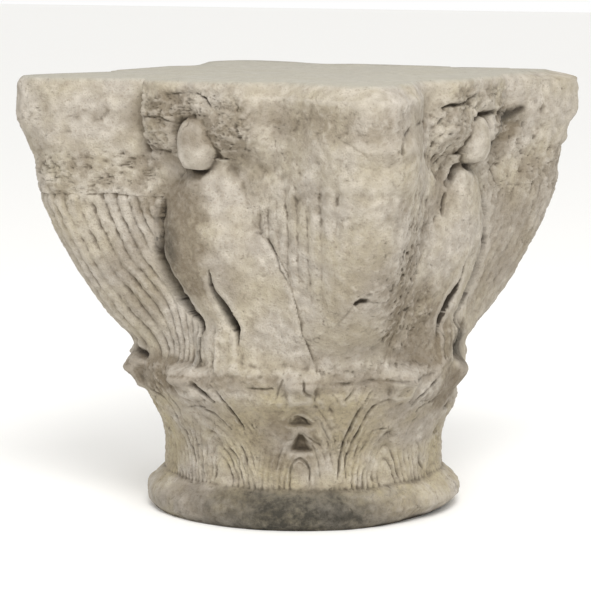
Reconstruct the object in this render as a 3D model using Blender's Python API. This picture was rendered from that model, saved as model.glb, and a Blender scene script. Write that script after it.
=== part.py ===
"""A carved stone capital: four birds on a ring of leaves, cut from one block with its neck ring.

The plan is a circle at the neck and a square with hollow sides at the top. A bird stands on each
side with its wings spread to the corners, and neighbours mirror each other across each corner.
The surface is one function: the distance from the upright axis at any direction and height.
Directions are in degrees from -Y towards +X, and all sizes are in metres.
"""

import bmesh
import bpy
import numpy as np

# The block
HEIGHT = 0.385
HORN_RADIUS = 0.256  # axis to the cut end of a corner at the top
SIDE_RADIUS = 0.152  # axis to the deepest point of a hollow side at the top
HORN_START = 39.0  # degrees from a side's middle where the corner's cut end begins

# The neck ring and the neck
RING_RADIUS = 0.1405
RING_HEIGHT = 0.033
RING_FOOT_RADIUS = 0.135
RING_ROUNDING = 0.010
NECK_RADIUS = 0.1245

# The ring of leaves
LEAF_COUNT = 10
LEAF_TURN = 29.0  # degrees, direction of one leaf's middle
LEDGE_HEIGHT = 0.133  # where the leaf tips stand out
LEDGE_RADIUS = 0.154
LEAF_TIP_REACH = 0.010
LEAF_RIB_WIDTH = 0.012
LEAF_RIB_DEPTH = 0.0042
LEAF_ARCH_HEIGHT = 0.022
LEAF_ARCH_SLIMNESS = 2.36  # an arch's height over its half width
LEAF_HOLE_DEPTH = 0.008
LEAF_FOLD_DEPTH = 0.006
LEDGE_SLOPE = 0.012  # height over which the ledge meets the birds

# The birds
BREAST_RADIUS = 0.167
TAIL_RADIUS = 0.146
BOSS_RADIUS = 0.174  # axis to the front of the boss above each head
BOSS_DIP = 0.006  # how far the boss falls back towards its free edge
HEAD_RADIUS = 0.177
HEAD_WIDTH = 0.036
HEAD_LENGTH = 0.045
CREVICE_DEPTH = 0.040
FEATHER_STEP = 2.1  # degrees between the free wing's feathers
NEAR_FEATHER_STEP = 2.8
FEATHER_DEPTH = 0.0045
WING_LIFT = 0.003
WING_HOLLOW = 0.004
BODY_STEP = 0.006  # how far a body's free edge stands back from its middle
FLANK_DROP = 0.018
BODY_EMBED = 0.020
TAIL_LIFT = 0.003
FLUTE_DEPTH = 0.002
CUT_ROUNDING = 0.0008
SIDE_CUT_DEPTH = 0.002
WING_LINE_DEPTH = 0.002
WING_LINE_WIDTH = 0.0035
HEAD_FOOT_RADIUS = 0.160
HEAD_RECESS = 0.005  # how far the boss is cut back all round the head
HEAD_GROOVE_DEPTH = 0.010

# What is lost
ARRIS_LOSS = 0.004
ARRIS_LOSS_HEIGHT = 0.006
FRONT_LOSS = 0.018  # the slab's worn top edge over the front corner
FRONT_LOSS_HEIGHT = 0.014
HORN_LOSS = 0.030  # the same on the corner to its right, which is worn lower
HORN_LOSS_HEIGHT = 0.007
CORNER_LOSS = 0.008
CHIP_DEPTH = 0.003
LEDGE_LOSS = 0.007  # the ledge's worn tips on the side that faces +X
RING_LOSS = 0.010  # the ring's worn foot on the same side
RING_LOSS_HEIGHT = 0.013

# How finely the surface is sampled, and how many faces the finished solid keeps
COLUMNS = 720
ROWS = 270
FACE_LIMIT = 9800

# The neck's flare: shares of the way up from the ring to the ledge, and of the way out to the ledge.
NECK_FLARE = ((0.27, 0.0), (0.40, 0.09), (0.54, 0.31), (0.69, 0.57), (0.84, 0.90), (1.00, 1.00))

# Shares of the bird zone, from the ledge (0) to the top (1), and what is there.
# The corner's reach, as a share of the way from the neck's radius to the horn's.
CORNER_REACH = ((0.00, 0.24), (0.06, 0.235), (0.17, 0.41), (0.33, 0.62), (0.50, 0.80), (0.60, 0.87),
                (0.72, 0.905), (0.80, 0.965), (0.90, 0.975), (1.00, 0.98))
# What the cut end of a corner adds to that reach, below its own rim and at it.
HORN_LIP = ((0.81, 0.02), (0.865, 0.045), (1.00, 0.03))
# The bell between the birds, as a share of the way from the neck's radius to the hollow side's.
BELL_REACH = ((0.00, 1.00), (0.07, 0.75), (0.20, 0.80), (0.40, 1.00), (1.00, 1.00))
# The bird's middle line, as a share of the way from the tail's radius to the breast's.
BODY_REACH = ((0.00, -0.05), (0.15, 0.05), (0.22, 0.25), (0.31, 0.62), (0.40, 0.90), (0.50, 1.00),
              (0.64, 0.95), (0.71, 0.70), (0.80, 0.60))
# The body's edges, in degrees from the side's middle: the free one, and the one on the wing.
BODY_FREE_EDGE = ((0.00, -8.0), (0.12, -7.0), (0.17, -6.5), (0.22, -12.0), (0.30, -17.5),
                  (0.40, -21.5), (0.50, -21.5), (0.58, -19.0), (0.65, -14.0), (0.72, -9.0))
BODY_WING_EDGE = ((0.00, 34.0), (0.06, 32.5), (0.20, 29.0), (0.33, 26.0), (0.42, 22.5),
                  (0.50, 16.5), (0.58, 13.0), (0.65, 11.0), (0.72, 8.0))
THIGH_LINE = ((0.13, 8.5), (0.22, 5.0), (0.32, 0.5))
WING_ARCH = ((5.0, 0.61), (11.0, 0.64), (17.0, 0.68), (26.0, 0.735), (34.0, 0.755), (40.0, 0.74),
             (45.0, 0.72))
FEATHER_TOP = 0.605
NEAR_FEATHER_TOP = ((10.0, 0.50), (17.0, 0.56), (25.0, 0.62), (34.0, 0.65), (45.0, 0.66))
# The two crevices' half widths, as shares of the whole height.
FREE_CREVICE = ((0.16, 0.001), (0.22, 0.010), (0.28, 0.019), (0.34, 0.018), (0.43, 0.010), (0.56, 0.003))
THIGH_CREVICE = ((0.13, 0.001), (0.18, 0.011), (0.24, 0.012), (0.31, 0.005), (0.38, 0.001))
HEAD_CENTRE = 0.792
HEAD_TURN = -3.2
BOSS_EDGES = (-20.8, 15.5)
BOSS_FOOT = 0.70


def through(points, at):
    """A smooth curve through a few (place, value) points, flat beyond both ends, with no overshoot."""
    place, value = np.array(points, float).T
    gap = np.diff(place)
    slope = np.diff(value) / gap
    tangent = np.zeros(len(place))
    same_way = slope[1:] * slope[:-1] > 0
    mean = 2 * slope[1:] * slope[:-1] / np.where(same_way, slope[1:] + slope[:-1], 1.0)
    tangent[1:-1] = np.where(same_way, mean, 0.0)
    at = np.clip(at, place[0], place[-1])
    i = np.clip(np.searchsorted(place, at, side="right") - 1, 0, len(gap) - 1)
    t = (at - place[i]) / gap[i]
    start = value[i] * (1 + 2 * t) * (1 - t) ** 2 + gap[i] * tangent[i] * t * (1 - t) ** 2
    end = value[i + 1] * t**2 * (3 - 2 * t) - gap[i] * tangent[i + 1] * t**2 * (1 - t)
    return start + end


def rise(x, low, high):
    """0 below low, 1 above high, and a smooth rise between."""
    t = np.clip((x - low) / (high - low), 0.0, 1.0)
    return t * t * (3 - 2 * t)


def between(x, low, high, soft):
    """1 from low to high and 0 outside, with soft edges."""
    return rise(x, low - soft, low + soft) * (1 - rise(x, high - soft, high + soft))


def ridges(x, step):
    """Rounded ridges a step wide with sharp grooves between them: 1 on a crest, 0 in a groove."""
    return np.abs(np.sin(np.pi * x / step)) ** 0.8


def side_angle(direction):
    """Degrees from the middle of the nearest side. Sides alternate in hand, so corners match."""
    side = np.round(direction / 90.0)
    return (direction - 90.0 * side) * np.where(side % 2 == 0, 1.0, -1.0)


def zone_share(height):
    """A height as a share of the bird zone, from the ledge to the top."""
    return (height - LEDGE_HEIGHT) / (HEIGHT - LEDGE_HEIGHT)


def arc(degrees, radius):
    """The length of an arc of so many degrees."""
    return np.radians(degrees) * radius


def ring_and_neck(height):
    """The turned profile of the neck ring and the neck, up to the ledge."""
    ring = (
        (0.0, RING_FOOT_RADIUS),
        (0.18 * RING_HEIGHT, RING_RADIUS - 0.1 * RING_ROUNDING),
        (0.35 * RING_HEIGHT, RING_RADIUS),
        (0.55 * RING_HEIGHT, RING_RADIUS - 0.1 * RING_ROUNDING),
        (0.87 * RING_HEIGHT, RING_RADIUS - RING_ROUNDING),
        (1.03 * RING_HEIGHT, NECK_RADIUS),
    )
    flare = tuple(
        (RING_HEIGHT + up * (LEDGE_HEIGHT - RING_HEIGHT), NECK_RADIUS + out * (LEDGE_RADIUS - NECK_RADIUS))
        for up, out in NECK_FLARE
    )
    return through(ring + flare, height)


def corner_weight(angle):
    """0 at a side's middle and 1 at the corner's cut end, with the side hollow between them."""
    t = (np.abs(angle) / HORN_START) ** 3
    return t / (1 + t**6) ** (1 / 6)


def bell(angle, share):
    """The block before the birds: round above the ledge, square with hollow sides at the top."""
    end = rise(np.abs(angle), 37.0, 43.0)
    reach = through(CORNER_REACH, share) + end * rise(share, 0.79, 0.83) * through(HORN_LIP, share)
    corner = NECK_RADIUS + (HORN_RADIUS - NECK_RADIUS) * reach
    side = NECK_RADIUS + (SIDE_RADIUS - NECK_RADIUS) * through(BELL_REACH, share)
    return side + (corner - side) * corner_weight(angle)


def wing_relief(angle, share):
    """The spread wings: feathers in ridges, and the hollow above each wing."""
    away = np.maximum(0.0, FEATHER_TOP - share)
    bend = 65.6 * away**1.4 * np.maximum((angle + 45.0) / 28.0, 0.0) ** 1.7
    free_root = angle - 15.0 * np.tanh(bend / 15.0)
    free = ridges(free_root, FEATHER_STEP) * between(share, 0.04, FEATHER_TOP, 0.012)
    free = np.where(share > FEATHER_TOP, 1.0, free)

    top = through(NEAR_FEATHER_TOP, angle)
    near_root = angle - 4.0 * np.maximum(0.66 - share, 0.0) * rise(angle, 20.0, 40.0)
    cut = 0.7 * rise(share, 0.30, 0.46) * (1 - rise(share, top, top + 0.06))
    cut = cut * rise(angle, through(BODY_WING_EDGE, share), through(BODY_WING_EDGE, share) + 1.5)
    near = 1.0 - cut * (1.0 - ridges(near_root, NEAR_FEATHER_STEP)) * (1 - 0.85 * rise(angle, 33.0, 43.0))

    arch = through(WING_ARCH, angle)
    lifted = WING_LIFT * between(share, top, arch, 0.02) * rise(angle, 8.0, 14.0)
    hollow = WING_HOLLOW * between(angle, 15.0, 36.0, 5.0) * between(share, 0.82, 0.97, 0.05)
    band = 0.4 * WING_LIFT * between(angle, -42.0, -20.0, 3.0) * between(share, FEATHER_TOP, 0.74, 0.04)
    return FEATHER_DEPTH * (np.where(angle < 0, free, near) - 1.0) + lifted - hollow - band


def body(angle, share, ground):
    """The bird's breast, thighs and tail, over the surface that they stand on."""
    left = through(BODY_FREE_EDGE, share)
    right = through(BODY_WING_EDGE, share)
    middle = TAIL_RADIUS + (BREAST_RADIUS - TAIL_RADIUS) * through(BODY_REACH, share)
    merged = rise(share, 0.50, 0.63)
    free_side = np.clip(1 - (angle / left) ** 2, 0.0, 1.0) ** (0.5 + 0.45 * merged)
    wing_side = np.clip(1 - (angle / right) ** 2, 0.0, 1.0)
    free_edge = middle - FLANK_DROP * rise(share, 0.10, 0.35) - BODY_STEP
    free_edge = free_edge + (np.minimum(ground, middle) - free_edge) * merged
    wing_edge = ground + WING_LIFT * (1 - rise(share, 0.44, 0.54))
    surface = np.where(
        angle < 0,
        free_edge + (middle - free_edge) * free_side,
        wing_edge + np.maximum(middle - wing_edge, 0.0) * wing_side,
    )
    inside = (angle > left) & (angle < right) & (share < 0.74)
    return np.where(inside, np.maximum(surface, ground - BODY_EMBED * (angle < 0)), ground)


def tail(angle, share):
    """The fluted tail over the ledge."""
    width = 8.0 + 1.5 * (0.14 - share) / 0.14
    flutes = ridges(angle + width, width / 2.5)
    inside = between(angle, -width, width, 0.8) * between(share, 0.0, 0.14, 0.015)
    return (TAIL_LIFT + FLUTE_DEPTH * flutes) * inside


def crevices(angle, share, radius):
    """The deep cuts: under the free wing, between the thighs, and along the wing's inner edge."""
    width = HEIGHT * through(FREE_CREVICE, share)
    beside = np.abs(arc(angle - through(BODY_FREE_EDGE, share), radius) + 0.9 * width)
    deep = CREVICE_DEPTH * between(share, 0.20, 0.46, 0.06)
    deep = deep + SIDE_CUT_DEPTH * between(share, 0.46, 0.60, 0.04)
    cut = deep * (1 - rise(beside, 0.75 * width, width + CUT_ROUNDING))

    width = HEIGHT * through(THIGH_CREVICE, share)
    beside = np.abs(arc(angle - through(THIGH_LINE, share), radius))
    deep = 0.6 * CREVICE_DEPTH * between(share, 0.15, 0.33, 0.05)
    cut += deep * (1 - rise(beside, 0.6 * width, width + CUT_ROUNDING))

    beside = np.abs(arc(angle - through(BODY_WING_EDGE, share), radius))
    beside = beside / WING_LINE_WIDTH
    cut += WING_LINE_DEPTH * between(share, 0.06, 0.50, 0.03) * (1 - rise(beside, 0.14, 1.0))
    return cut


def head_and_boss(angle, height, share, ground):
    """The rough boss in the middle of a side, and the worn head cut free under it."""
    left, right = BOSS_EDGES
    front = BOSS_RADIUS / np.cos(np.radians(angle)) - BOSS_DIP * (1 - rise(angle, left, left + 9.0))
    width = rise(angle, left - 0.6, left + 0.6) * (1 - rise(angle, right - 3.0, right + 11.0))
    boss = ground + np.maximum(front - ground, 0.0) * rise(share, BOSS_FOOT, 0.84) * width

    head_height = LEDGE_HEIGHT + HEAD_CENTRE * (HEIGHT - LEDGE_HEIGHT)
    across = arc(angle - HEAD_TURN, HEAD_RADIUS) / (0.5 * HEAD_WIDTH)
    along = (height - head_height) / (0.5 * HEAD_LENGTH)
    out = (np.abs(across) ** 3.2 + np.abs(along) ** 3.0) ** (1 / 3.1)
    boss = boss - HEAD_RECESS * (1 - rise(out, 1.0, 1.45)) * (1 - 0.7 * rise(across, 0.0, 1.0))
    beside = (1 - rise(across, -0.9, -0.2)) * (1 - 0.6 * rise(along, 0.0, 0.9))
    under = 0.45 * (1 - rise(along, -1.0, -0.5)) * (1 - rise(across, 0.0, 0.8))
    cut_free = HEAD_GROOVE_DEPTH * np.maximum(beside, under)
    egg = np.clip(1 - out**2.6, 0.0, 1.0) ** 0.36
    head = HEAD_FOOT_RADIUS + (HEAD_RADIUS - HEAD_FOOT_RADIUS) * egg
    groove = cut_free * between(out, 0.98, 1.10, 0.05)
    return np.where(egg > 0, np.maximum(boss - cut_free, head), boss - groove)


def leaves(direction, height):
    """The ring of leaves: nested arches whose ribs fan out between the leaves, and tips on the ledge."""
    pitch = 360.0 / LEAF_COUNT
    turned = (direction - LEAF_TURN + 0.5 * pitch) % pitch - 0.5 * pitch
    zone = LEDGE_HEIGHT - RING_HEIGHT
    up = np.maximum(height - 1.06 * RING_HEIGHT, 0.0)
    power = 1.7
    aside = LEAF_ARCH_SLIMNESS * arc(np.abs(turned), NECK_RADIUS)
    arch = (aside**power + up**power) ** (1 / power)
    inner = arch - LEAF_ARCH_HEIGHT
    ribs = ridges(inner, LEAF_RIB_WIDTH) * (inner > 0) + (inner <= 0) * rise(-inner, 0.0, LEAF_RIB_WIDTH / 3)
    cut = LEAF_RIB_DEPTH * (1 - ribs) * between(up / zone, -0.10, 0.88, 0.04)

    every_other = np.round((direction - LEAF_TURN) / pitch) % 2 == 0
    for hole, tall in ((0.40, 0.075), (0.63, 0.045)):
        wide = 2.4 * np.clip(1.4 - (up / zone - hole) / tall, 0.0, 2.4)
        inside = between(up / zone, hole - tall, hole + tall, 0.015)
        deep = LEAF_HOLE_DEPTH * np.where(every_other, 1.0, 0.15)
        cut = cut + deep * inside * (1 - rise(np.abs(turned), 0.5 * wide, wide + 0.3))

    near_axis = 1 - rise(np.abs(turned), 2.0, 9.0)
    tip = LEAF_TIP_REACH * near_axis * between(up / zone, 0.90, 1.10, 0.07)
    fold = LEAF_FOLD_DEPTH * (1 - rise(np.abs(turned), 3.0, 5.0)) * between(up / zone, 0.76, 0.95, 0.03)
    return tip + fold - cut


def wear(direction, angle, height, share):
    """Losses: blunt arrises, two corners' worn top edges, and the worn tips and ring on the +X side."""
    top = HEIGHT - height
    blunt = ARRIS_LOSS * np.clip(1 - top / ARRIS_LOSS_HEIGHT, 0.0, 1.5) ** 2
    front = FRONT_LOSS * np.clip(1 - top / FRONT_LOSS_HEIGHT, 0.0, 1.3) * between(direction, 14.0, 62.0, 8.0)
    horn = HORN_LOSS * np.clip(1 - top / HORN_LOSS_HEIGHT, 0.0, 1.3) * between(direction, 122.0, 146.0, 6.0)
    corner = CORNER_LOSS * between(direction, 36.0, 54.0, 4.0) * rise(share, 0.79, 0.85)
    chip = CHIP_DEPTH * between(direction, 124.0, 146.0, 6.0) * between(share, 0.77, 0.83, 0.02)
    ledge = LEDGE_LOSS * between(direction, 88.0, 150.0, 8.0) * between(share, -0.12, 0.06, 0.04)
    foot = RING_LOSS * np.clip(1 - height / RING_LOSS_HEIGHT, 0.0, 1.0)
    foot = foot * between(direction, 62.0, 125.0, 20.0)
    return blunt + front + horn + corner + chip + ledge + foot


def surface(direction, height):
    """Distance from the axis, for arrays of directions in degrees and heights in metres."""
    angle = side_angle(direction)
    share = zone_share(height)
    upper = bell(angle, share)
    upper = upper + wing_relief(angle, share)
    upper = body(angle, share, upper)
    upper = upper + tail(angle, share)
    upper = head_and_boss(angle, height, share, upper)
    upper = upper - crevices(angle, share, upper)
    lower = ring_and_neck(height) + leaves(direction, height) * (height > RING_HEIGHT)
    blend = rise(height, LEDGE_HEIGHT, LEDGE_HEIGHT + LEDGE_SLOPE)
    return lower + (upper - lower) * blend - wear(direction, angle, height, share)


def stone():
    """The stone's finish: a warm grey limestone."""
    material = bpy.data.materials.new("limestone")
    material.use_nodes = True
    shader = material.node_tree.nodes["Principled BSDF"]
    shader.inputs["Base Color"].default_value = (0.47, 0.41, 0.32, 1.0)
    shader.inputs["Roughness"].default_value = 0.9
    shader.inputs["Metallic"].default_value = 0.0
    return material


def carved_mesh():
    """The surface as a closed grid, a little longer than the block at both ends."""
    over = 0.01 * HEIGHT
    directions = np.arange(COLUMNS) * 360.0 / COLUMNS - 180.0
    heights = np.linspace(-over, HEIGHT + over, ROWS)
    direction, height = np.meshgrid(directions, heights)
    radius = surface(direction, height)
    turn = np.radians(direction)
    points = np.stack([radius * np.sin(turn), -radius * np.cos(turn), height], axis=-1)

    made = bmesh.new()
    rows = [[made.verts.new(point) for point in row] for row in points]
    for low, high in zip(rows, rows[1:]):
        for i in range(COLUMNS):
            j = (i + 1) % COLUMNS
            made.faces.new((low[i], low[j], high[j], high[i]))
    made.faces.new(list(reversed(rows[0])))
    made.faces.new(rows[-1])
    mesh = bpy.data.meshes.new("capital")
    made.to_mesh(mesh)
    made.free()
    return mesh


def bed_cutter():
    """A slab of space from the lower bed to the upper one, which trims both beds flat."""
    reach = 1.5 * HORN_RADIUS
    made = bmesh.new()
    bmesh.ops.create_cube(made, size=1.0)
    bmesh.ops.scale(made, vec=(2 * reach, 2 * reach, HEIGHT), verts=made.verts)
    bmesh.ops.translate(made, vec=(0.0, 0.0, 0.5 * HEIGHT), verts=made.verts)
    mesh = bpy.data.meshes.new("beds")
    made.to_mesh(mesh)
    made.free()
    cutter = bpy.data.objects.new("beds", mesh)
    bpy.context.scene.collection.objects.link(cutter)
    cutter.hide_render = True
    cutter.display_type = "WIRE"
    return cutter


def build():
    """Clears the scene and makes the capital."""
    for old in list(bpy.data.objects):
        bpy.data.objects.remove(old, do_unlink=True)
    capital = bpy.data.objects.new("capital", carved_mesh())
    bpy.context.scene.collection.objects.link(capital)
    capital.data.materials.append(stone())
    capital.data.shade_smooth()

    fewer = capital.modifiers.new("fewer_faces", "DECIMATE")
    fewer.ratio = FACE_LIMIT / (2 * COLUMNS * ROWS)
    beds = capital.modifiers.new("flat_beds", "BOOLEAN")
    beds.operation = "INTERSECT"
    beds.object = bed_cutter()


build()
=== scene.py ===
"""The looks of a weathered limestone capital: four spread birds on a ring of stiff leaves.

The stone is one carved block, so it is one mesh. Its surface is the distance from the upright axis
at each direction and height of a fine grid. Each part of the carving is a class that adds its own
relief to that distance, and the weather then wears, cracks and chips the whole. Marks are kept on
the mesh for the stone's finish: stain, grime and soot, and with them painted shade in the hollows,
creases, cuts and crevices, patches of painted shade and shadow, and paler raised edges.
Directions are in degrees from -Y towards +X, heights are above the lower bed, and all is in metres.
"""

from __future__ import annotations

import logging
from dataclasses import dataclass, field
from enum import Enum
from typing import Any

import bpy
import numpy as np
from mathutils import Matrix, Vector


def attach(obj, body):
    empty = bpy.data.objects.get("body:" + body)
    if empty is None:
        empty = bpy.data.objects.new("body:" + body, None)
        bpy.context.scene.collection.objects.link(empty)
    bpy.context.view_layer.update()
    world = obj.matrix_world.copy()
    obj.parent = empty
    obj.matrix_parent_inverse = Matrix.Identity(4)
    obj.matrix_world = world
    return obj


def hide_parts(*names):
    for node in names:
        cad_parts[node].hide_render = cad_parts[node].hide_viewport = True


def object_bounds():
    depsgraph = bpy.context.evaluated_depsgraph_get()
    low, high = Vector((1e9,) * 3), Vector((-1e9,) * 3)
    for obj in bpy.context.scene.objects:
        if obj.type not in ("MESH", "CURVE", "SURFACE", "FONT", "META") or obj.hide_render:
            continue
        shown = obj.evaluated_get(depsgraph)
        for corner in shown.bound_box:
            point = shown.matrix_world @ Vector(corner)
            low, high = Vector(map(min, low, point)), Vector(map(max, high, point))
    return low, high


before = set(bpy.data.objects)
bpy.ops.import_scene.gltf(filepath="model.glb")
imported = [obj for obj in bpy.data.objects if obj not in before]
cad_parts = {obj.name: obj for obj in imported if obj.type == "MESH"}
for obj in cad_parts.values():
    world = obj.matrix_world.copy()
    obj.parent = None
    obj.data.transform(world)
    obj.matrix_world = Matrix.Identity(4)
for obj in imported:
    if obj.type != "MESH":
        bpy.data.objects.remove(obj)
CAD_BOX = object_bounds()
LOG = logging.getLogger("capital")

Array = np.ndarray
Curve = tuple[tuple[float, float], ...]
MM = 0.001


def through(points: Curve, at: Array) -> Array:
    """A smooth curve through a few points, flat beyond both ends, with no overshoot.

    Args:
        points: pairs of place and value, in order of place.
        at: the places to read.

    Returns:
        The curve's value at each place.
    """
    place, value = np.array(points, float).T
    gap = np.diff(place)
    slope = np.diff(value) / gap
    tangent = np.zeros(len(place))
    same_way = slope[1:] * slope[:-1] > 0
    mean = 2 * slope[1:] * slope[:-1] / np.where(same_way, slope[1:] + slope[:-1], 1.0)
    tangent[1:-1] = np.where(same_way, mean, 0.0)
    at = np.clip(at, place[0], place[-1])
    i = np.clip(np.searchsorted(place, at, side="right") - 1, 0, len(gap) - 1)
    t = (at - place[i]) / gap[i]
    start = value[i] * (1 + 2 * t) * (1 - t) ** 2 + gap[i] * tangent[i] * t * (1 - t) ** 2
    end = value[i + 1] * t**2 * (3 - 2 * t) - gap[i] * tangent[i + 1] * t**2 * (1 - t)
    return start + end


def rise(x: Array, low: float | Array, high: float | Array) -> Array:
    """0 below low, 1 above high, and a smooth rise between.

    Args:
        x: the values to read.
        low: where the rise starts.
        high: where the rise ends.

    Returns:
        The rise at each value, from 0 to 1.
    """
    t = np.clip((x - low) / (high - low), 0.0, 1.0)
    return t * t * (3 - 2 * t)


def between(x: Array, low: float | Array, high: float | Array, soft: float) -> Array:
    """1 from low to high and 0 outside, with soft edges.

    Args:
        x: the values to read.
        low: the lower edge.
        high: the upper edge.
        soft: half the width of each edge.

    Returns:
        The share at each value, from 0 to 1.
    """
    return rise(x, low - soft, low + soft) * (1 - rise(x, high - soft, high + soft))


def ridges(x: Array, step: float) -> Array:
    """Rounded ridges with sharp grooves between them.

    Args:
        x: the distance across the ridges.
        step: the width of one ridge.

    Returns:
        1 on each crest and 0 in each groove.
    """
    return np.abs(np.sin(np.pi * x / step)) ** 0.8


def arc(degrees: Array, radius: float | Array) -> Array:
    """The length of an arc.

    Args:
        degrees: the angle that it spans.
        radius: its radius.

    Returns:
        Its length.
    """
    return np.radians(degrees) * radius


def linear(colour: str) -> tuple[float, float, float, float]:
    """The linear colour of an sRGB hex value.

    Args:
        colour: six hex digits after a hash.

    Returns:
        Red, green, blue and an alpha of 1.
    """
    parts = [int(colour[i : i + 2], 16) / 255 for i in (1, 3, 5)]
    red, green, blue = (c / 12.92 if c <= 0.04045 else ((c + 0.055) / 1.055) ** 2.4 for c in parts)
    return red, green, blue, 1.0


def add_node(
    tree: bpy.types.NodeTree,
    kind: str,
    settings: dict[str, Any] | None = None,
    inputs: dict[str | int, Any] | None = None,
) -> bpy.types.Node:
    """Adds a shader node with its settings, and links or fills its inputs.

    Args:
        tree: the material's node tree.
        kind: the node's type name.
        settings: the node's own properties.
        inputs: a value, or another node's output to link, for each input named or numbered.

    Returns:
        The new node.
    """
    node = tree.nodes.new(kind)
    for name, value in (settings or {}).items():
        setattr(node, name, value)
    for name, value in (inputs or {}).items():
        if isinstance(value, bpy.types.NodeSocket):
            tree.links.new(value, node.inputs[name])
        else:
            node.inputs[name].default_value = value
    return node


@dataclass(frozen=True)
class Noise:
    """Smooth random relief in space, the same at each run."""

    seed: int

    def smooth(self, points: Array, size: float) -> Array:
        """Gradient noise of one size.

        Args:
            points: places, with x, y and z last.
            size: the width of one swell.

        Returns:
            Values from about -1 to 1.
        """
        draw = np.random.default_rng(self.seed)
        order = np.tile(draw.permutation(256), 3)
        slopes = draw.normal(size=(256, 3)).astype(np.float32)
        slopes /= np.linalg.norm(slopes, axis=1, keepdims=True)
        scaled = points / size + 37.0
        cell = np.floor(scaled).astype(np.int32)
        inside = (scaled - cell).astype(np.float32)
        cell &= 255
        ease = inside**3 * (inside * (inside * 6 - 15) + 10)
        total = np.zeros(points.shape[:-1], np.float32)
        for corner in np.ndindex(2, 2, 2):
            i, j, k = (cell[..., axis] + corner[axis] for axis in range(3))
            slope = slopes[order[order[order[i & 255] + (j & 255)] + (k & 255)]]
            share = np.ones(total.shape, np.float32)
            pull = np.zeros(total.shape, np.float32)
            for axis in range(3):
                share *= ease[..., axis] if corner[axis] else 1 - ease[..., axis]
                pull += slope[..., axis] * (inside[..., axis] - corner[axis])
            total += share * pull
        return total * 1.6

    def layered(self, points: Array, size: float, layers: int = 3, fade: float = 0.5) -> Array:
        """Noise of several sizes, each half as wide as the one before.

        Args:
            points: places, with x, y and z last.
            size: the width of the widest swell.
            layers: how many sizes are added.
            fade: the height of each layer as a share of the one before.

        Returns:
            Values from about -1 to 1.
        """
        total = np.zeros(points.shape[:-1], np.float32)
        for layer in range(layers):
            total += fade**layer * Noise(self.seed + 11 * layer).smooth(points, size / 2**layer)
        return total

    def scalloped(self, points: Array, size: float) -> Array:
        """Hollow scallops with sharp ridges between them, as broken stone has.

        Args:
            points: places, with x, y and z last.
            size: the width of one scallop.

        Returns:
            About 0 in the middle of a scallop and 1 on a ridge.
        """
        draw = np.random.default_rng(self.seed)
        order = np.tile(draw.permutation(256), 3)
        shift = draw.random((256, 3)).astype(np.float32)
        lift = (0.5 * draw.random(256)).astype(np.float32)
        scaled = points / size + 37.0
        cell = np.floor(scaled).astype(np.int32)
        inside = (scaled - cell).astype(np.float32)
        nearest = np.full(points.shape[:-1], 9.0, np.float32)
        for step in np.ndindex(3, 3, 3):
            i, j, k = ((cell[..., axis] + step[axis] - 1) & 255 for axis in range(3))
            pick = order[order[order[i] + j] + k]
            away = np.zeros(nearest.shape, np.float32)
            for axis in range(3):
                away += (shift[pick, axis] + step[axis] - 1 - inside[..., axis]) ** 2
            nearest = np.minimum(nearest, away + lift[pick])
        return nearest


def terraced(values: Array, steps: float) -> Array:
    """Values turned into steps with soft treads and steep risers, as flaking stone has.

    Args:
        values: the values to step.
        steps: how many steps a rise of 1 makes.

    Returns:
        The stepped values.
    """
    scaled = values * steps
    whole = np.floor(scaled)
    return (whole + rise(scaled - whole, 0.55, 0.95)) / steps


class Cut(Enum):
    """How a line in the stone was made."""

    CHISEL = "a sharp groove with even sides"
    WORN = "a soft shallow groove"
    BREAK = "a crack with one side lower than the other"


@dataclass(frozen=True)
class Line:
    """A groove or crack along a few points of direction in degrees and height in millimetres."""

    points: Curve
    width: float
    depth: float
    cut: Cut = Cut.CHISEL
    drop: float = 0.0


@dataclass(frozen=True)
class Patch:
    """A soft-edged oval area, in degrees and millimetres, with a strength."""

    direction: float
    height: float
    across: float
    up: float
    strength: float = 1.0


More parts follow.
